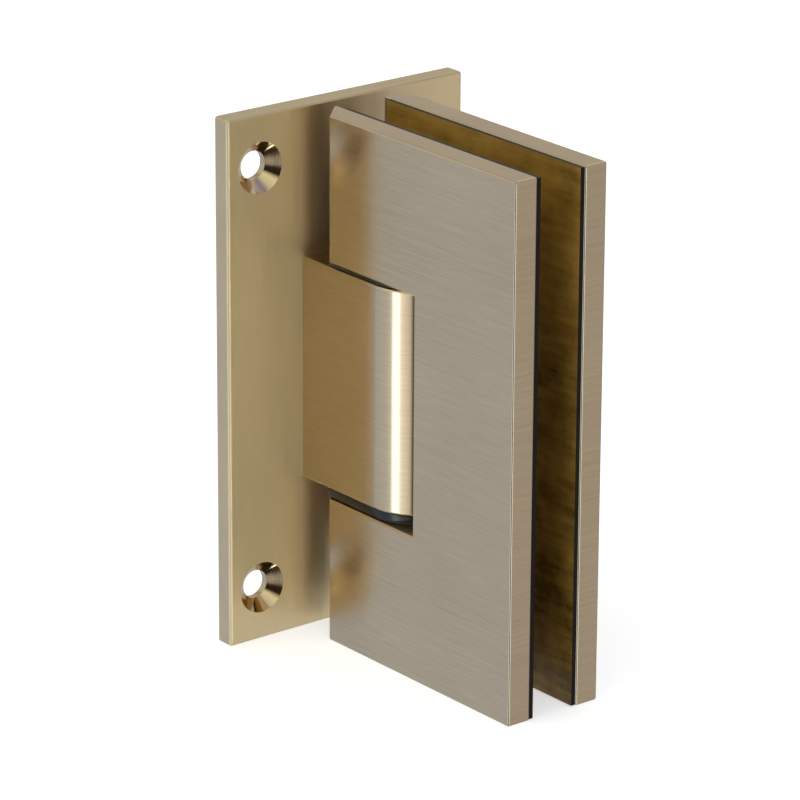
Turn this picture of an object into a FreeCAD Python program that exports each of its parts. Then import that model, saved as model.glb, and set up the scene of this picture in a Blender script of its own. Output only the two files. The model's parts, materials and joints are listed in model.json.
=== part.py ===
import FreeCAD, Part
import math
import os

# Wall to glass shower door hinge, in millimetres.
# X runs out of the wall along the closed door, Y across the glass, Z up.
# The origin is the middle of the wall plate's back face.
# The wall side carries the block, its bushes and the detent; the door side is the clamp and the pin.

V = FreeCAD.Vector

# Wall plate
plate_height = 90.0          # wall plate and clamp plates alike
wall_width = 48.0
wall_thickness = 3.2
wall_hole = 4.8              # screw hole, through
wall_sink = 8.7              # mouth of its countersink
hole_edge_y = 6.5            # hole centre to the plate's side edge
hole_edge_z = 9.0            # hole centre to the plate's top or bottom edge
wall_round = 0.5             # eased front edge of the wall plate

# Glass clamp
clamp_length = 50.0
clamp_thickness = 4.4        # each of the two plates
clamp_wall_gap = 3.6         # wall plate's face to the clamp's edge, door closed
mitre_land = 0.6             # square strip left beside the mitre on the clamp's wall edge
edge_round = 0.35            # eased edge of the clamp plates and the block
glass_thickness = 8.0
gasket_thickness = 0.8
gasket_margin = 0.2          # gasket to the plate's top, bottom and free edges
gasket_setback = 1.9         # gasket to the plate's wall edge
notch_chamfer = 0.25

# Pivot
pin_offset = 19.0            # wall plate's face to the pin's axis
pin_diameter = 7.0
pin_chamfer = 0.6
pin_end_gap = 1.5            # pin's end below the end of its lug
block_height = 38.0
block_recess = 0.2           # block's flat below the clamp's outer face
nose_gap = 1.0               # block's round nose to the notch
bush_wall = 1.45
bush_length = 9.0
bore_relief = 0.5            # pin to block between the bushes
upper_washer_thickness = 0.65
lower_washer_thickness = 1.65
washer_margin = 0.3          # washer's rim inside the block's outline
washer_setback = 2.8         # clamp's wall edge to the washer's square end
running_clearance = 0.05     # pin in bushes and washers, on the radius
seat_clearance = 0.02        # pieces that stay put in their bores, on the radius
end_clearance = 0.05         # each face of a washer

# Spine of the clamp, in the cut-out of the glass
lug_height = 12.9
lug_reach = 8.5              # pin's axis to the lug's wall end
web_width = 9.8
spine_corner = 3.0
spine_gap = 0.5              # gaskets to the spine

# Detent
detent_lift = 0.7            # depth of the pin's flats
flat_margin = 0.4            # flats end short of the bushes
plunger_pitch = 10.0
plunger_diameter = 6.3
plunger_length = 8.0
plunger_chamfer = 0.4
plunger_clearance = 0.1      # plunger in its bore, on the radius, and to the pin
cup_diameter = 5.0
cup_depth = 5.0
spring_wire = 0.9
spring_clearance = 0.2       # spring in the plunger's cup, on the radius
spring_turns = 5             # half a turn lies flat at each end
spring_seat_gap = 0.05       # each end of the spring

# Fasteners
screw_diameter = 5.0
screw_head = 9.2
screw_rim = 0.2              # straight rim of the countersunk head
screw_sink = 0.15            # head below the surface
screw_chamfer = 0.5
socket_width = 3.0           # across flats
socket_depth = 1.7
block_screw_length = 12.0
block_screw_pitch = 26.0
clamp_screw_grip = 7.0       # length in the spine
clamp_screw_pitch = 18.0
clamp_screw_count = 4
grub_diameter = 4.0
grub_socket = 2.0
grub_socket_depth = 2.0
grub_flat_depth = 0.4
grub_flat_margin = 0.6

# Modelling aids
overcut = 1.0                # cuts run this far past the faces they open
near = 0.01                  # edges are picked by their place to within this

# Worked out from the sizes above
half_height = plate_height / 2
wall_face = wall_thickness
pin_x = wall_face + pin_offset
slot_half = glass_thickness / 2 + gasket_thickness
clamp_half = slot_half + clamp_thickness
clamp_start = wall_face + clamp_wall_gap
clamp_end = clamp_start + clamp_length
mitre = clamp_thickness - mitre_land
block_half = clamp_half - block_recess
notch_wall = pin_x + block_half + nose_gap
notch_half = (block_height + upper_washer_thickness + lower_washer_thickness) / 2 + 2 * end_clearance
block_low = lower_washer_thickness + 2 * end_clearance - notch_half
block_high = block_low + block_height
block_middle = (block_low + block_high) / 2
spine_half = notch_half + lug_height
spine_start = pin_x - lug_reach
spine_end = notch_wall + web_width
lug_middle = notch_half + lug_height / 2
pin_radius = pin_diameter / 2
pin_half = spine_half - pin_end_gap
bush_inner = pin_radius + running_clearance
bush_outer = bush_inner + bush_wall
upper_bush_start = block_high - bush_length
lower_bush_end = block_low + bush_length
plunger_tip = pin_x - pin_radius - plunger_clearance
plunger_back = plunger_tip - plunger_length
screw_radius = screw_diameter / 2
clamp_screw_x = notch_wall + web_width / 2
clamp_screw_rows = [(i - (clamp_screw_count - 1) / 2) * clamp_screw_pitch for i in range(clamp_screw_count)]
block_screw_rows = (block_middle - block_screw_pitch / 2, block_middle + block_screw_pitch / 2)
lower_plunger_z = block_middle - plunger_pitch / 2
upper_plunger_z = block_middle + plunger_pitch / 2
lug_rows = (-lug_middle, lug_middle)


def block(x0, x1, y0, y1, z0, z1):
    return Part.makeBox(x1 - x0, y1 - y0, z1 - z0, V(x0, y0, z0))


def prism(points, direction):
    outline = Part.makePolygon(points + points[:1])
    return Part.Face(outline).extrude(direction)


def ring(outer, inner, z0, z1):
    tube = Part.makeCylinder(outer, z1 - z0, V(pin_x, 0, z0))
    return tube.cut(Part.makeCylinder(inner, z1 - z0, V(pin_x, 0, z0)))


def turned(profile):
    # a piece turned about X from points (x, radius)
    outline = [V(x, radius, 0) for x, radius in profile]
    return Part.Face(Part.makePolygon(outline + outline[:1])).revolve(V(0, 0, 0), V(1, 0, 0), 360)


def placed(shape, turn_axis, degrees, x, y, z):
    moved = shape.copy()
    moved.rotate(V(0, 0, 0), turn_axis, degrees)
    moved.translate(V(x, y, z))
    return moved


def hex_socket(width, depth):
    corner = width / math.sqrt(3)
    turns = [math.radians(60 * i) for i in range(6)]
    return prism([V(0, corner * math.cos(a), corner * math.sin(a)) for a in turns], V(depth, 0, 0))


def countersunk_screw(length):
    # head's face at x = 0, point towards +X
    head = screw_head / 2
    cone_end = screw_rim + head - screw_radius
    tip = screw_radius - screw_chamfer
    body = turned([(0, 0), (0, head), (screw_rim, head), (cone_end, screw_radius),
                   (length - screw_chamfer, screw_radius), (length, tip), (length, 0)])
    return body.cut(hex_socket(socket_width, socket_depth))


def countersunk_hole(hole_radius, mouth_radius, straight, length):
    # mouth at x = 0, open beyond it, hole towards +X
    cone_end = straight + mouth_radius - hole_radius
    return turned([(-overcut, 0), (-overcut, mouth_radius), (straight, mouth_radius),
                   (cone_end, hole_radius), (length, hole_radius), (length, 0)])


def screw_hole(length):
    # clears a countersunk screw whose head lies below the surface
    radius = screw_radius + seat_clearance
    mouth = screw_head / 2 + seat_clearance
    return countersunk_hole(radius, mouth, screw_sink + screw_rim, length)


def wall_plate():
    plate = block(0, wall_thickness, -wall_width / 2, wall_width / 2, -half_height, half_height)
    plate = plate.makeFillet(wall_round, [edge for edge in plate.Edges if edge.CenterOfMass.x > 0])
    hole = countersunk_hole(wall_hole / 2, wall_sink / 2, 0, wall_thickness + overcut)
    for y in (hole_edge_y - wall_width / 2, wall_width / 2 - hole_edge_y):
        for z in (hole_edge_z - half_height, half_height - hole_edge_z):
            plate = plate.cut(placed(hole, V(0, 0, 1), 180, wall_face, y, z))
    for z in block_screw_rows:
        plate = plate.cut(placed(screw_hole(wall_thickness + overcut), V(0, 0, 1), 0, 0, 0, z))
    return plate


def round_nosed(back, half, z0, z1):
    # flat sides from the back to the pin, then a round nose about the pin
    back_near = V(back, -half, z0)
    back_far = V(back, half, z0)
    side_near = V(pin_x, -half, z0)
    side_far = V(pin_x, half, z0)
    nose = Part.Arc(side_near, V(pin_x + half, 0, z0), side_far).toShape()
    outline = Part.Wire([Part.makeLine(back_near, side_near), nose,
                         Part.makeLine(side_far, back_far), Part.makeLine(back_far, back_near)])
    return Part.Face(outline).extrude(V(0, 0, z1 - z0))


def pivot_block():
    body = round_nosed(wall_face, block_half, block_low, block_high)
    rims = [edge for edge in body.Edges if edge.CenterOfMass.x > wall_face + near
            and abs(abs(edge.CenterOfMass.z - block_middle) - block_height / 2) < near]
    body = body.makeFillet(edge_round, rims)
    body = body.cut(Part.makeCylinder(pin_radius + bore_relief, block_height, V(pin_x, 0, block_low)))
    for z in (block_low, upper_bush_start):
        body = body.cut(Part.makeCylinder(bush_outer + seat_clearance, bush_length, V(pin_x, 0, z)))
    for z in (lower_plunger_z, upper_plunger_z):
        bore = plunger_diameter / 2 + plunger_clearance
        body = body.cut(Part.makeCylinder(bore, pin_offset, V(wall_face, 0, z), V(1, 0, 0)))
    for z in block_screw_rows:
        depth = block_screw_length + screw_sink - wall_thickness + screw_chamfer
        radius = screw_radius + seat_clearance
        body = body.cut(Part.makeCylinder(radius, depth, V(wall_face, 0, z), V(1, 0, 0)))
    return body


def block_screws():
    screw = countersunk_screw(block_screw_length)
    return Part.makeCompound([placed(screw, V(0, 0, 1), 0, screw_sink, 0, z) for z in block_screw_rows])


def bush(z0):
    return ring(bush_outer, bush_inner, z0, z0 + bush_length)


def washer(z0, thickness):
    # follows the end of the block up to its nose
    back = clamp_start + washer_setback
    pad = round_nosed(back, block_half - washer_margin, z0, z0 + thickness)
    return pad.cut(Part.makeCylinder(bush_inner, thickness, V(pin_x, 0, z0)))


def hinge_pin():
    pin = Part.makeCylinder(pin_radius, 2 * pin_half, V(pin_x, 0, -pin_half))
    pin = pin.makeChamfer(pin_chamfer, [edge for edge in pin.Edges if len(edge.Vertexes) == 1])
    # three flats hold the door closed and open a quarter turn either way
    flat_low = lower_bush_end + flat_margin
    flat_high = upper_bush_start - flat_margin
    flat = block(-pin_diameter, detent_lift - pin_radius, -pin_diameter, pin_diameter, flat_low, flat_high)
    for degrees in (-90, 0, 90):
        pin = pin.cut(placed(flat, V(0, 0, 1), degrees, pin_x, 0, 0))
    seat_half = grub_diameter / 2 + grub_flat_margin
    seat_face = grub_flat_depth - pin_radius
    seat = block(-pin_diameter, seat_face, -pin_diameter, pin_diameter, -seat_half, seat_half)
    for z in lug_rows:
        pin = pin.cut(placed(seat, V(0, 0, 1), 0, pin_x, 0, z))
    return pin


def pin_grub_screws():
    seat = pin_x - pin_radius + grub_flat_depth - seat_clearance
    length = seat - spine_start - screw_sink
    radius = grub_diameter / 2
    tip = radius - screw_chamfer
    grub = turned([(0, 0), (0, tip), (screw_chamfer, radius), (length - screw_chamfer, radius),
                   (length, tip), (length, 0)])
    grub = grub.cut(hex_socket(grub_socket, grub_socket_depth))
    return Part.makeCompound([placed(grub, V(0, 0, 1), 0, spine_start + screw_sink, 0, z) for z in lug_rows])


def plunger(z):
    radius = plunger_diameter / 2
    face = radius - plunger_chamfer
    cup = cup_diameter / 2
    body = turned([(0, cup), (0, radius), (plunger_length - plunger_chamfer, radius),
                   (plunger_length, face), (plunger_length, 0), (cup_depth, 0), (cup_depth, cup)])
    return placed(body, V(0, 0, 1), 0, plunger_back, 0, z)


def spring_section(middle, twist):
    # the wire cut across, with eight sides to keep its facets few
    turns = [twist + math.radians(45 * i) for i in range(8)]
    points = [middle + V(math.cos(a), math.sin(a), 0) * (spring_wire / 2) for a in turns]
    return Part.Face(Part.makePolygon(points + points[:1]))


def detent_spring(z):
    # from the wall plate's face to the floor of the plunger's cup
    # every half turn is a plane arc, tilted by its rise, so the coil stays smooth
    start = wall_face + spring_seat_gap + spring_wire / 2
    length = plunger_back + cup_depth - spring_seat_gap - spring_wire / 2 - start
    coil_radius = cup_diameter / 2 - spring_clearance - spring_wire / 2
    rising = 2 * spring_turns - 2
    rises = [0] + rising * [length / rising] + [0]
    halves = []
    x = start
    side = 1
    twist = 0
    for rise in rises:
        begin = V(x, side * coil_radius, z)
        end = V(x + rise, -side * coil_radius, z)
        axis = V(0, 0, side).cross(end - begin)
        halves.append(spring_section(begin, twist).revolve((begin + end) / 2, axis, 180))
        # half a turn mirrors the section about its axis
        twist = 2 * math.atan2(axis.y, axis.x) - twist
        x = x + rise
        side = -side
    return halves[0].multiFuse(halves[1:])


def notch():
    # the gap in both plates and the spine that the block stands in
    reach = clamp_half + overcut
    return block(wall_face, notch_wall, -reach, reach, -notch_half, notch_half)


def notch_rim(y, outward):
    # eased edge of the notch on one outer face
    def outline(grow, at):
        x0, x1 = wall_face, notch_wall + grow
        z1 = notch_half + grow
        corners = [V(x0, at, -z1), V(x1, at, -z1), V(x1, at, z1), V(x0, at, z1)]
        return Part.makePolygon(corners + corners[:1])
    inside = outline(-overcut, y - outward * (notch_chamfer + overcut))
    outside = outline(notch_chamfer + overcut, y + outward * overcut)
    return Part.makeLoft([inside, outside], True, True)


def clamp_plate(outward):
    # outward is -1 for the outer plate and 1 for the inner one
    inside = outward * slot_half
    outside = outward * clamp_half
    points = [V(clamp_start, inside, -half_height), V(clamp_end, inside, -half_height),
              V(clamp_end, outside, -half_height), V(clamp_start + mitre, outside, -half_height),
              V(clamp_start, outside - outward * mitre, -half_height)]
    plate = prism(points, V(0, 0, plate_height))
    plate = plate.makeFillet(edge_round, plate.Edges)
    return plate.cut(notch()).cut(notch_rim(outside, outward))


def spine():
    body = block(spine_start, spine_end, -slot_half, slot_half, -spine_half, spine_half)
    corners = [edge for edge in body.Edges
               if abs(edge.CenterOfMass.x - spine_end) < near and abs(edge.CenterOfMass.y) < near
               and abs(edge.CenterOfMass.z) > spine_half - near]
    return body.makeFillet(spine_corner, corners).cut(notch())


def outer_clamp_plate():
    plate = clamp_plate(-1).fuse(spine()).removeSplitter()
    pin_bore = pin_radius + seat_clearance
    plate = plate.cut(Part.makeCylinder(pin_bore, 2 * spine_half, V(pin_x, 0, -spine_half)))
    for z in lug_rows:
        radius = grub_diameter / 2 + seat_clearance
        plate = plate.cut(Part.makeCylinder(radius, lug_reach, V(spine_start, 0, z), V(1, 0, 0)))
    for z in clamp_screw_rows:
        radius = screw_radius + seat_clearance
        depth = clamp_screw_grip + screw_chamfer
        plate = plate.cut(Part.makeCylinder(radius, depth, V(clamp_screw_x, slot_half, z), V(0, -1, 0)))
    return plate


def inner_clamp_plate():
    plate = clamp_plate(1)
    for z in clamp_screw_rows:
        hole = screw_hole(clamp_thickness + overcut)
        plate = plate.cut(placed(hole, V(0, 0, 1), -90, clamp_screw_x, clamp_half, z))
    return plate


def clamp_screws():
    screw = countersunk_screw(clamp_thickness - screw_sink + clamp_screw_grip)
    head = clamp_half - screw_sink
    rows = clamp_screw_rows
    return Part.makeCompound([placed(screw, V(0, 0, 1), -90, clamp_screw_x, head, z) for z in rows])


def gasket(y0):
    x0 = clamp_start + gasket_setback
    x1 = clamp_end - gasket_margin
    z1 = half_height - gasket_margin
    sheet = block(x0, x1, y0, y0 + gasket_thickness, -z1, z1)
    return sheet.cut(block(0, spine_end + spine_gap, -clamp_half, clamp_half,
                           -spine_half - spine_gap, spine_half + spine_gap))


pieces = {
    "wall_plate": wall_plate(),
    "pivot_block": pivot_block(),
    "block_screws": block_screws(),
    "upper_bush": bush(upper_bush_start),
    "lower_bush": bush(block_low),
    "upper_plunger": plunger(upper_plunger_z),
    "lower_plunger": plunger(lower_plunger_z),
    "upper_detent_spring": detent_spring(upper_plunger_z),
    "lower_detent_spring": detent_spring(lower_plunger_z),
    "upper_washer": washer(block_high + end_clearance, upper_washer_thickness),
    "lower_washer": washer(end_clearance - notch_half, lower_washer_thickness),
    "hinge_pin": hinge_pin(),
    "pin_grub_screws": pin_grub_screws(),
    "outer_clamp_plate": outer_clamp_plate(),
    "inner_clamp_plate": inner_clamp_plate(),
    "clamp_screws": clamp_screws(),
    "outer_gasket": gasket(-slot_half),
    "inner_gasket": gasket(slot_half - gasket_thickness),
}

os.makedirs("parts", exist_ok=True)
for name, shape in pieces.items():
    shape.exportStep("parts/" + name + ".step")
    print(name, len(shape.Solids), shape.isValid(), round(shape.Volume, 1))
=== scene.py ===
import json
import math

import bpy
from mathutils import Matrix, Vector


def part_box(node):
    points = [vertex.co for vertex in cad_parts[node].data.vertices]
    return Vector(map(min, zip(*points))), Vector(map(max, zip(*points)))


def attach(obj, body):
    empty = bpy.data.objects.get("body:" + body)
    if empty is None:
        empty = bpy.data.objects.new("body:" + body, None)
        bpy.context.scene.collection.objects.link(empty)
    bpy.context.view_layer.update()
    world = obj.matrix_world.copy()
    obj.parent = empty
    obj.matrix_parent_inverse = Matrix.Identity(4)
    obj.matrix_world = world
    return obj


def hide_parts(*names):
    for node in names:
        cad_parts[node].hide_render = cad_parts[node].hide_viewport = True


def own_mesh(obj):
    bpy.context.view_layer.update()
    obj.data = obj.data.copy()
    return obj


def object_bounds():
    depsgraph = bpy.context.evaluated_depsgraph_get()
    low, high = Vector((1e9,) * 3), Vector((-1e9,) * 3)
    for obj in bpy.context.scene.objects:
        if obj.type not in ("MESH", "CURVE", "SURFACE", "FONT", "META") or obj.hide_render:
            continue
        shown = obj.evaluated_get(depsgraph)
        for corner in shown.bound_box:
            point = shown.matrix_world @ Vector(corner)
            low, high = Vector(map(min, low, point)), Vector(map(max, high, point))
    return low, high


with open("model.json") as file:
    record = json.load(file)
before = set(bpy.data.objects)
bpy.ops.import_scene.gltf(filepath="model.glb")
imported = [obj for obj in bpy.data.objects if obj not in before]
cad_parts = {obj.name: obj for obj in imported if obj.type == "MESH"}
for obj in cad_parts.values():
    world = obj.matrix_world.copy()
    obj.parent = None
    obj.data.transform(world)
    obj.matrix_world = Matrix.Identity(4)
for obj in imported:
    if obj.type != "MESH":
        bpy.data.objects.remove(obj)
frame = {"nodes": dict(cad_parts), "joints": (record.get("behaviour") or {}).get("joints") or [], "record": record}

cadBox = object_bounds()
nodes = frame["nodes"]
mounts = {mount["name"]: mount for mount in frame["record"]["mounts"]}
bpy.ops.object.select_all(action="DESELECT")
print("frame loaded:", len(nodes), "nodes")


# Camera: the photo's long lens, between the door's front and its free end, and above
cameraLook = {
    "target": (0.0174, 0.0, -0.0031),
    "azimuth": 51.4,        # degrees round from the door's front
    "elevation": 19.5,
    "roll": 0.31,
    "distance": 0.7824,
    "lens": 216.9,          # on a 36 mm sensor
    "clipStart": 0.01,
    "clipEnd": 20.0,
}


def addCamera(look):
    bpy.ops.object.camera_add()
    camera = bpy.context.object
    camera.name = "photoCamera"
    turn = (Matrix.Rotation(math.radians(look["azimuth"]), 4, "Z")
            @ Matrix.Rotation(math.radians(90 - look["elevation"]), 4, "X")
            @ Matrix.Rotation(math.radians(look["roll"]), 4, "Z"))
    away = turn.to_3x3() @ Vector((0, 0, look["distance"]))
    camera.matrix_world = Matrix.Translation(Vector(look["target"]) + away) @ turn
    camera.data.lens = look["lens"]
    camera.data.clip_start = look["clipStart"]
    camera.data.clip_end = look["clipEnd"]
    bpy.context.scene.camera = camera


addCamera(cameraLook)
print("camera placed")


# Node helpers
def addNode(tree, kind, **settings):
    item = tree.nodes.new(kind)
    for key, value in settings.items():
        setattr(item, key, value)
    return item


def setInputs(item, **values):
    for key, value in values.items():
        item.inputs[key].default_value = value


def feed(tree, value, socket):
    # another node's output is linked; a number, vector or colour is set
    if isinstance(value, bpy.types.NodeSocket):
        tree.links.new(value, socket)
    elif socket.type == "RGBA":
        socket.default_value = (*value, 1)
    else:
        socket.default_value = value


def mathNode(tree, operation, *values):
    item = addNode(tree, "ShaderNodeMath", operation=operation)
    for value, socket in zip(values, item.inputs):
        feed(tree, value, socket)
    return item.outputs["Value"]


def shareSum(tree, *rows):
    # adds up values, each times its share
    total = None
    for value, share in rows:
        part = mathNode(tree, "MULTIPLY", value, share)
        total = part if total is None else mathNode(tree, "ADD", total, part)
    return total


def farFromAxis(tree, across, up):
    squares = [mathNode(tree, "MULTIPLY", side, side) for side in (across, up)]
    return mathNode(tree, "SQRT", mathNode(tree, "ADD", *squares))


def noiseNode(tree, coordinate, scale, detail, roughness):
    item = addNode(tree, "ShaderNodeTexNoise")
    feed(tree, coordinate, item.inputs["Vector"])
    feed(tree, scale, item.inputs["Scale"])
    setInputs(item, Detail=detail, Roughness=roughness)
    return item.outputs["Fac"]


def rangeNode(tree, value, low, high, toLow=0, toHigh=1):
    item = addNode(tree, "ShaderNodeMapRange")
    feed(tree, value, item.inputs["Value"])
    setInputs(item, **{"From Min": low, "From Max": high, "To Min": toLow, "To Max": toHigh})
    return item.outputs["Result"]


mixSockets = {"RGBA": (6, 7, 2), "VECTOR": (4, 5, 1)}     # a Mix node's two inputs and its result


def mixNode(tree, kind, factor, first, second):
    item = addNode(tree, "ShaderNodeMix", data_type=kind)
    one, two, result = mixSockets[kind]
    feed(tree, factor, item.inputs[0])
    feed(tree, first, item.inputs[one])
    feed(tree, second, item.inputs[two])
    return item.outputs[result]


def mixColour(tree, factor, first, second):
    return mixNode(tree, "RGBA", factor, first, second)


def mixVector(tree, factor, first, second):
    return mixNode(tree, "VECTOR", factor, first, second)


def crossProduct(tree, first, second):
    item = addNode(tree, "ShaderNodeVectorMath", operation="CROSS_PRODUCT")
    feed(tree, first, item.inputs[0])
    feed(tree, second, item.inputs[1])
    return item.outputs["Vector"]


def splitVector(tree, vector):
    item = addNode(tree, "ShaderNodeSeparateXYZ")
    feed(tree, vector, item.inputs["Vector"])
    return item.outputs


def newMaterial(name):
    material = bpy.data.materials.new(name)
    material.use_nodes = True
    tree = material.node_tree
    shader = tree.nodes["Principled BSDF"]
    place = addNode(tree, "ShaderNodeTexCoord")
    return material, tree, shader, place


def mapped(tree, place, scale):
    item = addNode(tree, "ShaderNodeMapping")
    setInputs(item, Scale=scale)
    feed(tree, place.outputs["Object"], item.inputs["Vector"])
    return item.outputs["Vector"]


def addBump(tree, shader, height, strength, distance):
    bump = addNode(tree, "ShaderNodeBump")
    setInputs(bump, Strength=strength, Distance=distance)
    tree.links.new(height, bump.inputs["Height"])
    tree.links.new(bump.outputs["Normal"], shader.inputs["Normal"])


def newGroup(name, inputs, outputs):
    group = bpy.data.node_groups.new(name, "ShaderNodeTree")
    kinds = {"vector": "NodeSocketVector", "value": "NodeSocketFloat"}
    for side, rows in (("INPUT", inputs), ("OUTPUT", outputs)):
        for label, kind in rows:
            group.interface.new_socket(name=label, in_out=side, socket_type=kinds[kind])
    start = group.nodes.new("NodeGroupInput")
    end = group.nodes.new("NodeGroupOutput")
    return group, start.outputs, end.inputs


def placeGroup(tree, group, **values):
    item = addNode(tree, "ShaderNodeGroup", node_tree=group)
    for key, value in values.items():
        feed(tree, value, item.inputs[key])
    return item.outputs


# Shared effects; each noise has its scale, detail and roughness, and each cut what is spread over 0 to 1
brushGrain = {
    "broad": (1.0, 3.0, 0.55),
    "fine": (2.7, 2.0, 0.6),
    "hair": (1.0, 2.0, 0.6),
    "cloud": (45.0, 2.0, 0.5),
    "broadShare": 0.5,
    "fineShare": 0.5,
    "streakCut": (0.3, 0.7),
    "hairCut": (0.28, 0.72),
    "cloudCut": (0.3, 0.7),
}
mottleGrain = {
    "detail": 4.0,
    "roughness": 0.6,
    "cut": (0.3, 0.7),
}
ringGrain = {
    "rings": (9000, 2.0, 0.6),
    "cloud": (400, 2.0, 0.5),
    "ringCut": (0.3, 0.7),
    "drift": 0.1,           # how far the rings change along the axis
    "ringShare": 0.6,
    "cloudShare": 0.4,
}


def makeBrushGroup(grain):
    # long streaks, short hairs and slow clouds of a brushed face
    group, given, result = newGroup("brushStreaks",
                                    [("Long", "vector"), ("Short", "vector"), ("Plain", "vector")],
                                    [("Streak", "value"), ("Hair", "value"), ("Cloud", "value")])
    broad = noiseNode(group, given["Long"], *grain["broad"])
    fine = noiseNode(group, given["Long"], *grain["fine"])
    streak = shareSum(group, (broad, grain["broadShare"]), (fine, grain["fineShare"]))
    hair = noiseNode(group, given["Short"], *grain["hair"])
    cloud = noiseNode(group, given["Plain"], *grain["cloud"])
    feed(group, rangeNode(group, streak, *grain["streakCut"]), result["Streak"])
    feed(group, rangeNode(group, hair, *grain["hairCut"]), result["Hair"])
    feed(group, rangeNode(group, cloud, *grain["cloudCut"]), result["Cloud"])
    return group


def makeMottleGroup(grain):
    # uneven surface of moulded, drawn and turned pieces
    group, given, result = newGroup("mottle", [("Place", "vector"), ("Scale", "value")],
                                    [("Mottle", "value")])
    spots = noiseNode(group, given["Place"], given["Scale"], grain["detail"], grain["roughness"])
    feed(group, rangeNode(group, spots, *grain["cut"]), result["Mottle"])
    return group


def makeRingGroup(grain):
    # fine rings round a turned piece's own axis, and the tone that goes with them
    group, given, result = newGroup("latheRings", [("Turned", "vector"), ("Plain", "vector")],
                                    [("Ring", "value"), ("Tone", "value")])
    turned = splitVector(group, given["Turned"])
    spot = addNode(group, "ShaderNodeCombineXYZ")
    feed(group, farFromAxis(group, turned["X"], turned["Y"]), spot.inputs["X"])
    feed(group, mathNode(group, "MULTIPLY", turned["Z"], grain["drift"]), spot.inputs["Y"])
    rings = rangeNode(group, noiseNode(group, spot.outputs["Vector"], *grain["rings"]), *grain["ringCut"])
    cloud = noiseNode(group, given["Plain"], *grain["cloud"])
    feed(group, rings, result["Ring"])
    feed(group, shareSum(group, (rings, grain["ringShare"]), (cloud, grain["cloudShare"])), result["Tone"])
    return group


brushGroup = makeBrushGroup(brushGrain)
mottleGroup = makeMottleGroup(mottleGrain)
ringGroup = makeRingGroup(ringGrain)
print("shared effects made")


# Brushed brass of the clamp, the block and the wall plate
brassLook = {
    "dark": (0.512, 0.401, 0.264),
    "light": (0.688, 0.540, 0.355),
    "roughLow": 0.21,
    "roughHigh": 0.265,
    "anisotropy": 0.82,
    "hairShare": 0.45,
    "streakShare": 0.30,
    "cloudShare": 0.25,
    "levelTurn": 0.7,       # faces that look up or down by more than this are level
    "bumpStrength": 0.08,
    "bumpDistance": 0.00001,
}
# painted shade on the clamp's eased free-end edges, darkened to dim their highlights
clampLook = dict(brassLook, edge=(0.36, 0.305, 0.25), edgeTurn=0.12)
blockLook = dict(brassLook, roughLow=0.16, roughHigh=0.20)
wallLook = dict(brassLook, dark=(0.57, 0.447, 0.294), light=(0.63, 0.494, 0.325),
                roughLow=0.39, roughHigh=0.45, anisotropy=0.6)
grainLook = {
    "streakAlong": 9.0,     # streaks to the metre, lengthwise
    "streakAcross": 2600.0,
    "hairAlong": 130.0,     # and the short hairs between them
    "hairAcross": 5200.0,
}
sinkLook = {
    "mouth": 0.0047,        # a shade over the countersink's radius
    "flat": 0.95,           # faces less square to the wall than this are turned metal
    "rough": 0.10,
}


def linkSpread(tree, shader, vector):
    world = addNode(tree, "ShaderNodeVectorTransform", vector_type="VECTOR",
                    convert_from="OBJECT", convert_to="WORLD")
    feed(tree, vector, world.inputs["Vector"])
    tree.links.new(world.outputs["Vector"], shader.inputs["Tangent"])


def sinkMask(tree, place, turned, look):
    # turned countersinks of the wall plate's four holes, found by folding the plate over its middle
    dims = mounts["wall_holes"]["dims"]
    at = splitVector(tree, place.outputs["Object"])
    fromHole = []
    for axis, spacing in (("Y", dims["spacing_x_mm"]), ("Z", dims["spacing_y_mm"])):
        folded = mathNode(tree, "ABSOLUTE", at[axis])
        fromHole.append(mathNode(tree, "SUBTRACT", folded, spacing / 2000))     # half of it, in metres
    near = mathNode(tree, "LESS_THAN", farFromAxis(tree, *fromHole), look["mouth"])
    sloped = mathNode(tree, "LESS_THAN", mathNode(tree, "ABSOLUTE", turned["X"]), look["flat"])
    return mathNode(tree, "MULTIPLY", near, sloped)


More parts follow.
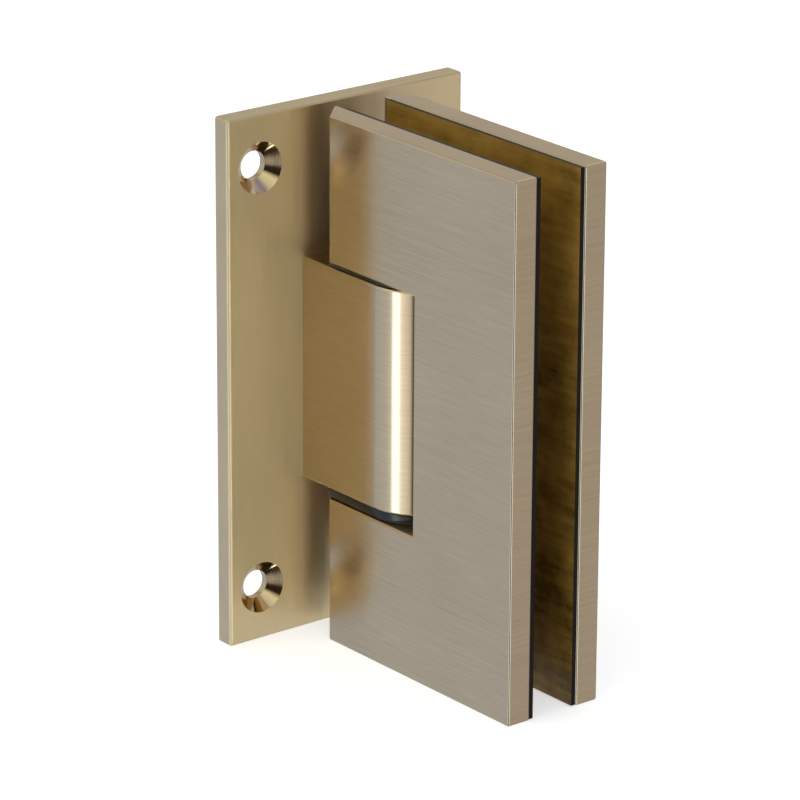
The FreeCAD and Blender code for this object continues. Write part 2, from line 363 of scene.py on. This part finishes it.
def brushedBrass(name, look, upright, sinks=None):
    material, tree, shader, place = newMaterial(name)
    grain = {}
    for mark in ("streak", "hair"):
        along, across = grainLook[mark + "Along"], grainLook[mark + "Across"]
        grain[mark] = mapped(tree, place, (along, across, along) if upright else (along, along, across))
    brush = placeGroup(tree, brushGroup, Long=grain["streak"], Short=grain["hair"],
                       Plain=place.outputs["Object"])
    tone = shareSum(tree, (brush["Hair"], look["hairShare"]), (brush["Streak"], look["streakShare"]),
                    (brush["Cloud"], look["cloudShare"]))
    colour = mixColour(tree, tone, look["dark"], look["light"])
    rough = rangeNode(tree, brush["Hair"], 0, 1, look["roughLow"], look["roughHigh"])
    # gloss spreads across the brushing: up and down on the clamp, sideways on the wall plate
    facing = place.outputs["Normal"]
    turned = splitVector(tree, facing)
    level = mathNode(tree, "GREATER_THAN", mathNode(tree, "ABSOLUTE", turned["Z"]), look["levelTurn"])
    if upright:
        spread = mixVector(tree, level, crossProduct(tree, (0, 0, 1), facing), (1, 0, 0))
    else:
        spread = mixVector(tree, level, (0, 0, 1), (0, 1, 0))
    if "edge" in look:
        # painted shade: the eased edges round the free ends are given a darker colour that dims their highlights
        outward = mathNode(tree, "GREATER_THAN", turned["X"], look["edgeTurn"])
        aside = mathNode(tree, "GREATER_THAN", mathNode(tree, "ABSOLUTE", turned["Y"]), look["edgeTurn"])
        colour = mixColour(tree, mathNode(tree, "MULTIPLY", outward, aside), colour, look["edge"])
    if sinks:
        mask = sinkMask(tree, place, turned, sinks)
        spread = mixVector(tree, mask, spread, (1, 0, 0))
        rough = shareSum(tree, (rough, mathNode(tree, "SUBTRACT", 1, mask)), (mask, sinks["rough"]))
    tree.links.new(colour, shader.inputs["Base Color"])
    tree.links.new(rough, shader.inputs["Roughness"])
    setInputs(shader, Metallic=1.0, Anisotropic=look["anisotropy"])
    linkSpread(tree, shader, spread)
    addBump(tree, shader, brush["Hair"], look["bumpStrength"], look["bumpDistance"])
    return material


def dress(names, material):
    for name in names:
        for item in nodes[name].material_slots:
            item.material = material


dress(("outer_clamp_plate", "inner_clamp_plate"), brushedBrass("clampBrass", clampLook, False))
dress(("pivot_block",), brushedBrass("blockBrass", blockLook, False))
dress(("wall_plate",), brushedBrass("wallBrass", wallLook, True, sinkLook))
print("brass dressed")


# Gasket: a smeared olive brown sheet; its cut edges are dark, partly their own colour and partly painted shade,
# and its top carries painted light
gasketLook = {
    "dark": (0.094, 0.046, 0.0063),
    "light": (0.375, 0.214, 0.046),
    # painted shade: the cut edges are darkened, partly as dark cut rubber and partly as the shade in the gaps
    # round the sheet
    "edge": (0.007, 0.004, 0.0015),
    "blots": (120.0, 4.0, 0.6),         # noise: scale, detail, roughness
    "smears": (1.0, 3.0, 0.6),
    "smearStretch": (90.0, 90.0, 900.0),
    "blotShare": 0.65,
    "smearShare": 0.35,
    "cut": (0.34, 0.72),
    "paintedTopLight": 0.22,                      # painted light: how much paler the top is than the foot
    "sheetTurn": 0.5,                   # faces more square to the glass than this are the sheet's own
    "roughLow": 0.26,
    "roughHigh": 0.42,
    "specular": 0.14,
    "bumpStrength": 0.2,
    "bumpDistance": 0.00003,
}


def gasketMaterial(look):
    material, tree, shader, place = newMaterial("glassGasket")
    blot = noiseNode(tree, place.outputs["Object"], *look["blots"])
    smear = noiseNode(tree, mapped(tree, place, look["smearStretch"]), *look["smears"])
    stain = shareSum(tree, (blot, look["blotShare"]), (smear, look["smearShare"]))
    # painted light: the sheet is made paler towards its top
    low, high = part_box("inner_gasket")
    paintedTopLightRamp = rangeNode(tree, splitVector(tree, place.outputs["Object"])["Z"], low[2], high[2],
                      -look["paintedTopLight"] / 2, look["paintedTopLight"] / 2)
    stain = rangeNode(tree, mathNode(tree, "ADD", stain, paintedTopLightRamp), *look["cut"])
    square = mathNode(tree, "ABSOLUTE", splitVector(tree, place.outputs["Normal"])["Y"])
    sheet = mathNode(tree, "GREATER_THAN", square, look["sheetTurn"])
    # the cut edges take the dark edge colour, partly their own and partly painted shade
    colour = mixColour(tree, sheet, look["edge"], mixColour(tree, stain, look["dark"], look["light"]))
    rough = rangeNode(tree, stain, 0, 1, look["roughLow"], look["roughHigh"])
    tree.links.new(colour, shader.inputs["Base Color"])
    tree.links.new(rough, shader.inputs["Roughness"])
    setInputs(shader, **{"Specular IOR Level": look["specular"]})
    addBump(tree, shader, stain, look["bumpStrength"], look["bumpDistance"])
    return material


dress(("outer_gasket", "inner_gasket"), gasketMaterial(gasketLook))
print("gaskets dressed")


# Black nylon and inner pieces; turned ones carry fine marks round their own axes
plainBump = 0.00003
evenMarks = (1, 1, 1)
latheMarks = {
    "X": (9, 0.03, 0.03),
    "Y": (0.03, 9, 0.03),
    "Z": (0.03, 0.03, 9),
}
nylonLook = {
    "dark": (0.002, 0.002, 0.002),
    "light": (0.004, 0.004, 0.004),
    "scale": 400,
    "roughLow": 0.14,
    "roughHigh": 0.20,
    "metallic": 0,
    "bump": 0.02,
}
steelLook = {
    "dark": (0.50, 0.50, 0.51),
    "light": (0.60, 0.60, 0.61),
    "scale": 700,
    "roughLow": 0.22,
    "roughHigh": 0.34,
    "metallic": 1,
    "bump": 0.05,
}
wireLook = {
    "dark": (0.36, 0.36, 0.38),
    "light": (0.42, 0.42, 0.44),
    "scale": 700,
    "roughLow": 0.25,
    "roughHigh": 0.4,
    "metallic": 1,
    "bump": 0.02,
}
polymerLook = {
    "dark": (0.74, 0.73, 0.69),
    "light": (0.8, 0.79, 0.75),
    "scale": 500,
    "roughLow": 0.45,
    "roughHigh": 0.6,
    "metallic": 0,
    "bump": 0.1,
}
screwBrassLook = {
    "dark": (0.56, 0.47, 0.31),
    "light": (0.62, 0.52, 0.35),
    "scale": 700,
    "roughLow": 0.22,
    "roughHigh": 0.32,
    "metallic": 1,
    "bump": 0.05,
}


def plainMaterial(name, look, marks=evenMarks):
    material, tree, shader, place = newMaterial(name)
    mottle = placeGroup(tree, mottleGroup, Place=mapped(tree, place, marks), Scale=look["scale"])["Mottle"]
    colour = mixColour(tree, mottle, look["dark"], look["light"])
    rough = rangeNode(tree, mottle, 0, 1, look["roughLow"], look["roughHigh"])
    tree.links.new(colour, shader.inputs["Base Color"])
    tree.links.new(rough, shader.inputs["Roughness"])
    setInputs(shader, Metallic=look["metallic"])
    addBump(tree, shader, mottle, look["bump"], plainBump)
    return material


blackNylon = plainMaterial("blackNylon", nylonLook)
pinSteel = plainMaterial("pinSteel", steelLook, latheMarks["Z"])
plungerSteel = plainMaterial("plungerSteel", steelLook, latheMarks["X"])
springWire = plainMaterial("springWire", wireLook)
bushPolymer = plainMaterial("bushPolymer", polymerLook)
screwBrass = plainMaterial("screwBrass", screwBrassLook, latheMarks["Y"])
dress(("upper_washer", "lower_washer"), blackNylon)
dress(("hinge_pin",), pinSteel)
dress(("upper_plunger", "lower_plunger", "pin_grub_screws", "block_screws"), plungerSteel)
dress(("upper_detent_spring", "lower_detent_spring"), springWire)
dress(("upper_bush", "lower_bush"), bushPolymer)
dress(("clamp_screws",), screwBrass)
print("inner pieces dressed")


# Socket screws: each kind is modelled head up at the origin, then copied into its holes
screwLook = {
    "sides": 48,
    "rimRound": 0.00008,
    "rimSteps": 3,
    "threadPitch": 0.0008,
    "threadDepth": 0.00040,
    "threadRings": 6,           # rings of vertices to one turn
    "toothSlope": 1.5,          # over 1 leaves flats on the crests and in the roots
    "pointChamfer": 0.0005,
    "mouth": 0.00012,           # chamfer round the socket's mouth
    "drillPoint": 0.0003,       # hollow in the socket's floor
    "cup": 0.0004,              # hollow in a grub screw's point
    "square": 0.99,             # a face that looks this far along the axis is an end
    "touch": 1e-6,              # what lies this near to an end counts as on it
    "smooth": 35,
}
screwKinds = {
    "clampScrew": {
        "node": "clamp_screws", "body": "door_clamp", "slot": "screw_brass", "rows": 4, "faces": "+Y",
        "head": 0.0046, "rim": 0.0002, "shank": 0.0025, "socket": 0.0030, "socketDepth": 0.0017,
    },
    "blockScrew": {
        "node": "block_screws", "body": "wall_side", "slot": "steel", "rows": 2, "faces": "-X",
        "head": 0.0046, "rim": 0.0002, "shank": 0.0025, "socket": 0.0030, "socketDepth": 0.0017,
    },
    "grubScrew": {
        "node": "pin_grub_screws", "body": "door_clamp", "slot": "steel", "rows": 2, "faces": "-X",
        "head": 0, "rim": 0, "shank": 0.0020, "socket": 0.0020, "socketDepth": 0.0020,
    },
}


def choose(piece):
    bpy.ops.object.select_all(action="DESELECT")
    piece.select_set(True)
    bpy.context.view_layer.objects.active = piece


def leaveEdit():
    bpy.ops.object.mode_set(mode="OBJECT")


def pick(piece, kind, wanted):
    # selects the edges or faces that pass the test and opens edit mode
    if bpy.context.mode != "OBJECT":
        leaveEdit()
    mesh = piece.data
    for group in (mesh.vertices, mesh.edges, mesh.polygons):
        group.foreach_set("select", [False] * len(group))
    if kind == "FACE":
        for face in mesh.polygons:
            face.select = wanted(face)
    else:
        for edge in mesh.edges:
            edge.select = wanted(*[mesh.vertices[i].co for i in edge.vertices])
    bpy.context.tool_settings.mesh_select_mode = (False, kind == "EDGE", kind == "FACE")
    bpy.ops.object.mode_set(mode="EDIT")


def drawUp(height):
    bpy.ops.mesh.extrude_region_move(TRANSFORM_OT_translate={"value": (0, 0, height)})


def windThread(screw, look, kind, top, foot):
    # the helix is pressed into the shank, shallow under the head and at the chamfered point
    for vertex in screw.data.vertices:
        x, y, z = vertex.co
        turn = (z / look["threadPitch"] - math.atan2(y, x) / (2 * math.pi)) % 1
        tooth = min(1, max(0, 0.5 + look["toothSlope"] * (abs(2 * turn - 1) - 0.5)))
        fade = min(1, (top - z) / look["threadPitch"])
        radius = kind["shank"] - look["threadDepth"] * (1 - tooth) * fade
        radius = min(radius, kind["shank"] - max(0, look["pointChamfer"] - (z - foot)))
        if not kind["head"]:
            radius = min(radius, kind["shank"] - max(0, look["pointChamfer"] - (top - z)))
        stretch = radius / math.hypot(x, y)
        vertex.co = (x * stretch, y * stretch, z)


def turnShank(name, look, kind, top, foot):
    length = top - foot
    bpy.ops.object.select_all(action="DESELECT")
    bpy.ops.mesh.primitive_cylinder_add(vertices=look["sides"], radius=kind["shank"], depth=length,
                                        location=(0, 0, (top + foot) / 2))
    screw = bpy.context.object
    screw.name = name
    bpy.ops.object.transform_apply(location=True, rotation=False, scale=False)
    # rings up the shank for the thread
    pick(screw, "EDGE", lambda a, b: abs(a.z - b.z) > length / 2)
    bpy.ops.mesh.subdivide(number_cuts=int(length / look["threadPitch"] * look["threadRings"]))
    leaveEdit()
    windThread(screw, look, kind, top, foot)
    return screw


def drawHead(screw, look, kind, top):
    # countersunk head: a cone and its straight rim drawn up from the top of the shank
    pick(screw, "FACE", lambda face: face.normal.z > look["square"] and face.center.z > top - look["touch"])
    grow = kind["head"] / kind["shank"]
    drawUp(-top - kind["rim"])
    bpy.ops.transform.resize(value=(grow, grow, 1), center_override=(0, 0, 0))
    drawUp(kind["rim"])
    pick(screw, "EDGE", lambda a, b: abs(a.z) + abs(b.z) < look["touch"])
    bpy.ops.mesh.bevel(offset=look["rimRound"], segments=look["rimSteps"], affect="EDGES")


def hexRing(screw, width):
    # puts the selected ring on a hexagon
    leaveEdit()
    for vertex in screw.data.vertices:
        if vertex.select:
            angle = math.atan2(vertex.co.y, vertex.co.x)
            radius = width / 2 / math.cos((angle % (math.pi / 3)) - math.pi / 6)
            vertex.co.x, vertex.co.y = radius * math.cos(angle), radius * math.sin(angle)
    bpy.ops.object.mode_set(mode="EDIT")


def cutSocket(screw, look, kind):
    # hexagon socket with a chamfered mouth and a drilled floor
    pick(screw, "FACE", lambda face: face.normal.z > look["square"] and face.center.z > -look["touch"])
    corner = kind["socket"] / math.sqrt(3)
    ring = kind["head"] - look["rimRound"] if kind["head"] else kind["shank"] - look["pointChamfer"]
    bpy.ops.mesh.inset(thickness=ring - corner - look["mouth"])
    hexRing(screw, kind["socket"] + 2 * look["mouth"])
    drawUp(-look["mouth"])
    hexRing(screw, kind["socket"])
    drawUp(look["mouth"] - kind["socketDepth"])
    bpy.ops.mesh.poke(offset=-look["drillPoint"])


def cupPoint(screw, look, foot):
    pick(screw, "FACE",
         lambda face: face.normal.z < -look["square"] and face.center.z < foot + look["touch"])
    bpy.ops.mesh.inset(thickness=look["cup"])
    bpy.ops.mesh.poke(offset=-look["cup"])


def modelScrew(name, look, kind, length):
    top = kind["shank"] - kind["head"] - kind["rim"] if kind["head"] else 0     # of the shank
    screw = turnShank(name, look, kind, top, -length)
    if kind["head"]:
        drawHead(screw, look, kind, top)
    cutSocket(screw, look, kind)
    if not kind["head"]:
        cupPoint(screw, look, -length)
    bpy.ops.mesh.select_all(action="SELECT")
    bpy.ops.mesh.normals_make_consistent(inside=False)
    leaveEdit()
    bpy.ops.object.shade_smooth_by_angle(angle=math.radians(look["smooth"]))
    # where each point lies on the lathe, for the turning marks
    turned = screw.data.attributes.new("turned", "FLOAT_VECTOR", "POINT")
    for vertex, mark in zip(screw.data.vertices, turned.data):
        mark.vector = vertex.co
    return screw


def placeScrews(name, look, kind, material):
    low, high = [Vector(corner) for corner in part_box(kind["node"])]
    reach = kind["head"] or kind["shank"]
    acrossPlate = kind["faces"] == "+Y"
    length = high.y - low.y if acrossPlate else high.x - low.x
    screw = modelScrew(name + "1", look, kind, length)
    screw.data.materials.append(material)
    copies = [screw]
    while len(copies) < kind["rows"]:
        choose(screw)
        bpy.ops.object.duplicate()
        copies.append(bpy.context.object)
    step = (high.z - low.z - 2 * reach) / (kind["rows"] - 1)
    for i, item in enumerate(copies):
        item.name = name + str(i + 1)
        z = low.z + reach + i * step
        if acrossPlate:
            seat, axis = ((low.x + high.x) / 2, high.y, z), "X"
        else:
            seat, axis = (low.x, (low.y + high.y) / 2, z), "Y"
        item.matrix_world = Matrix.Translation(seat) @ Matrix.Rotation(-math.pi / 2, 4, axis)
        choose(item)
        bpy.ops.object.transform_apply(location=True, rotation=True, scale=True)
        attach(item, kind["body"])
        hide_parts(kind["node"])


turnedBrassLook = {
    "dark": (0.50, 0.39, 0.25),
    "light": (0.64, 0.50, 0.33),
    "roughLow": 0.22,
    "roughHigh": 0.32,
    "bumpStrength": 0.25,
    "bumpDistance": 0.00001,
}
turnedSteelLook = dict(turnedBrassLook, dark=(0.46, 0.46, 0.47), light=(0.60, 0.60, 0.61), roughLow=0.20)


def turnedMaterial(name, look):
    material, tree, shader, place = newMaterial(name)
    lathe = addNode(tree, "ShaderNodeAttribute", attribute_name="turned")
    marks = placeGroup(tree, ringGroup, Turned=lathe.outputs["Vector"], Plain=place.outputs["Object"])
    colour = mixColour(tree, marks["Tone"], look["dark"], look["light"])
    rough = rangeNode(tree, marks["Ring"], 0, 1, look["roughLow"], look["roughHigh"])
    tree.links.new(colour, shader.inputs["Base Color"])
    tree.links.new(rough, shader.inputs["Roughness"])
    setInputs(shader, Metallic=1.0)
    addBump(tree, shader, marks["Ring"], look["bumpStrength"], look["bumpDistance"])
    return material


screwFinish = {
    "screw_brass": turnedMaterial("turnedBrass", turnedBrassLook),
    "steel": turnedMaterial("turnedScrewSteel", turnedSteelLook),
}
for name, kind in screwKinds.items():
    placeScrews(name, screwLook, kind, screwFinish[kind["slot"]])
print("screws modelled")


# Washers and springs: copies of the frame's pieces, made sound before they are worked on
mergeReach = 1e-6
washerLook = {
    "flatAngle": 1,         # degrees, under which faces become one
    "rimRound": 0.00014,
    "rimSteps": 3,
    "rimAngle": 40,
    "smooth": 35,
}
springLook = {
    "smooth": 50,
}


def ownCopy(node, name):
    piece = bpy.data.objects.new(name, nodes[node].data.copy())
    bpy.context.scene.collection.objects.link(piece)
    choose(piece)
    bpy.ops.mesh.customdata_custom_splitnormals_clear()
    bpy.ops.object.mode_set(mode="EDIT")
    bpy.ops.mesh.select_all(action="SELECT")
    bpy.ops.mesh.remove_doubles(threshold=mergeReach)
    bpy.ops.mesh.normals_make_consistent(inside=False)
    leaveEdit()
    return piece


def softenRim(piece, look):
    bpy.ops.object.mode_set(mode="EDIT")
    bpy.ops.mesh.select_all(action="SELECT")
    bpy.ops.mesh.dissolve_limited(angle_limit=math.radians(look["flatAngle"]))
    leaveEdit()
    rounding = piece.modifiers.new("rim", "BEVEL")
    rounding.width = look["rimRound"]
    rounding.segments = look["rimSteps"]
    rounding.limit_method = "ANGLE"
    rounding.angle_limit = math.radians(look["rimAngle"])
    bpy.ops.object.modifier_apply(modifier="rim")


def settle(piece, node, body, material, angle):
    bpy.ops.object.shade_smooth_by_angle(angle=math.radians(angle))
    piece.data.materials.clear()
    piece.data.materials.append(material)
    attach(piece, body)
    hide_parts(node)


for name in ("upper", "lower"):
    washer = ownCopy(name + "_washer", name + "WasherPad")
    softenRim(washer, washerLook)
    settle(washer, name + "_washer", "wall_side", blackNylon, washerLook["smooth"])
print("washers rounded")

for joint in frame["joints"]:
    for item in joint.get("deforming_nodes") or []:
        spring = ownCopy(item["node"], joint["child"].split("_")[0] + "Spring")
        settle(spring, item["node"], "wall_side", springWire, springLook["smooth"])
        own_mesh(spring)


# Stage: pale floor and a room of soft light round the hinge
stageLook = {
    "floorSize": 6.0,
    "floorTone": (0.78, 0.78, 0.88),
    "floorGlow": 0.53,
    "underTop": -0.20,      # sine of the height where the light from below starts to give way
    "lowFoot": 0.02,        # and where the low light has taken over
    "lowTop": 0.34,         # the same for the low and the high light
    "highFoot": 0.59,
}
# what the metal mirrors, by azimuth: 0 is in front of the door, 90 past its free end, 180 behind
underLight = {
    -180: (0.62, 0.62, 0.58), -140: (0.52, 0.49, 0.41), -120: (0.59, 0.60, 0.58), -100: (0.54, 0.60, 0.69),
    -60: (0.53, 0.60, 0.74), -40: (0.59, 0.66, 0.78), -20: (0.65, 0.72, 0.82), -8: (0.82, 0.91, 0.97),
    -3: (2.20, 2.73, 3.24), 9: (2.20, 2.73, 3.24), 14: (1.36, 1.47, 1.53), 34: (0.88, 0.89, 0.86),
    40: (0.03, 0.02, 0.01), 73: (0.03, 0.02, 0.01), 78: (3.85, 4.02, 3.20), 92: (3.85, 4.02, 3.20),
    97: (1.05, 1.10, 1.00), 120: (0.55, 0.55, 0.56), 140: (0.51, 0.51, 0.53), 180: (0.62, 0.62, 0.58),
}
lowLight = {
    -180: (0.58, 0.58, 0.55), -140: (0.52, 0.49, 0.46), -120: (0.59, 0.56, 0.54), -100: (0.61, 0.66, 0.71),
    -40: (0.67, 0.74, 0.82), -20: (0.82, 0.87, 0.91), 0: (0.86, 0.90, 0.90), 20: (0.40, 0.38, 0.33),
    34: (0.10, 0.09, 0.07), 40: (0.03, 0.02, 0.01), 73: (0.03, 0.02, 0.01), 78: (2.15, 2.24, 1.77),
    92: (2.15, 2.24, 1.77), 97: (1.05, 1.10, 0.96), 120: (0.69, 0.72, 0.68), 140: (0.52, 0.50, 0.47),
    180: (0.58, 0.58, 0.55),
}
highLight = {
    -180: (0.84, 0.90, 0.86), -140: (0.88, 0.98, 0.86), -120: (0.58, 0.61, 0.52), -90: (0.44, 0.44, 0.37),
    -60: (0.79, 0.79, 0.63), -20: (1.52, 1.51, 1.17), 0: (1.52, 1.53, 1.15), 40: (1.17, 1.22, 0.91),
    80: (0.89, 0.90, 0.80), 120: (0.38, 0.35, 0.56), 150: (0.48, 0.46, 0.61), 180: (0.84, 0.90, 0.86),
}


def azimuthLight(tree, outward, stops):
    ramp = addNode(tree, "ShaderNodeValToRGB")
    angle = mathNode(tree, "ARCTAN2", outward["X"], mathNode(tree, "MULTIPLY", outward["Y"], -1))
    feed(tree, rangeNode(tree, angle, -math.pi, math.pi), ramp.inputs["Fac"])
    points = ramp.color_ramp.elements
    while len(points) < len(stops):
        points.new(0.5)
    for point, (azimuth, colour) in zip(points, stops.items()):
        point.position = azimuth / 360 + 0.5
        point.color = (*colour, 1)
    return ramp.outputs["Color"]


def addFloor(look):
    bpy.ops.mesh.primitive_plane_add(size=look["floorSize"], location=(0, 0, cadBox[0][2]))
    floor = bpy.context.object
    floor.name = "paleFloor"
    bpy.ops.object.transform_apply(location=True, rotation=False, scale=False)
    material = bpy.data.materials.new("paleFloor")
    material.use_nodes = True
    tree = material.node_tree
    tree.nodes.remove(tree.nodes["Principled BSDF"])
    pale = addNode(tree, "ShaderNodeBsdfDiffuse")
    feed(tree, look["floorTone"], pale.inputs["Color"])
    glow = addNode(tree, "ShaderNodeEmission")
    setInputs(glow, Strength=look["floorGlow"])
    seen = addNode(tree, "ShaderNodeAddShader")
    tree.links.new(pale.outputs["BSDF"], seen.inputs[0])
    tree.links.new(glow.outputs["Emission"], seen.inputs[1])
    # the metal looks past the floor into the room
    past = addNode(tree, "ShaderNodeBsdfTransparent")
    path = addNode(tree, "ShaderNodeLightPath")
    mix = addNode(tree, "ShaderNodeMixShader")
    tree.links.new(path.outputs["Is Camera Ray"], mix.inputs["Fac"])
    tree.links.new(past.outputs["BSDF"], mix.inputs[1])
    tree.links.new(seen.outputs["Shader"], mix.inputs[2])
    tree.links.new(mix.outputs["Shader"], tree.nodes["Material Output"].inputs["Surface"])
    floor.data.materials.append(material)


def addWorld(look):
    world = bpy.data.worlds.new("quietRoom")
    world.use_nodes = True
    tree = world.node_tree
    outward = splitVector(tree, addNode(tree, "ShaderNodeTexCoord").outputs["Generated"])
    under, low, high = [azimuthLight(tree, outward, stops) for stops in (underLight, lowLight, highLight)]
    lowShare = rangeNode(tree, outward["Z"], look["underTop"], look["lowFoot"])
    highShare = rangeNode(tree, outward["Z"], look["lowTop"], look["highFoot"])
    light = mixColour(tree, highShare, mixColour(tree, lowShare, under, low), high)
    tree.links.new(light, tree.nodes["Background"].inputs["Color"])
    bpy.context.scene.world = world


addFloor(stageLook)
addWorld(stageLook)
bpy.context.scene.view_settings.view_transform = "Standard"
print("stage lit")
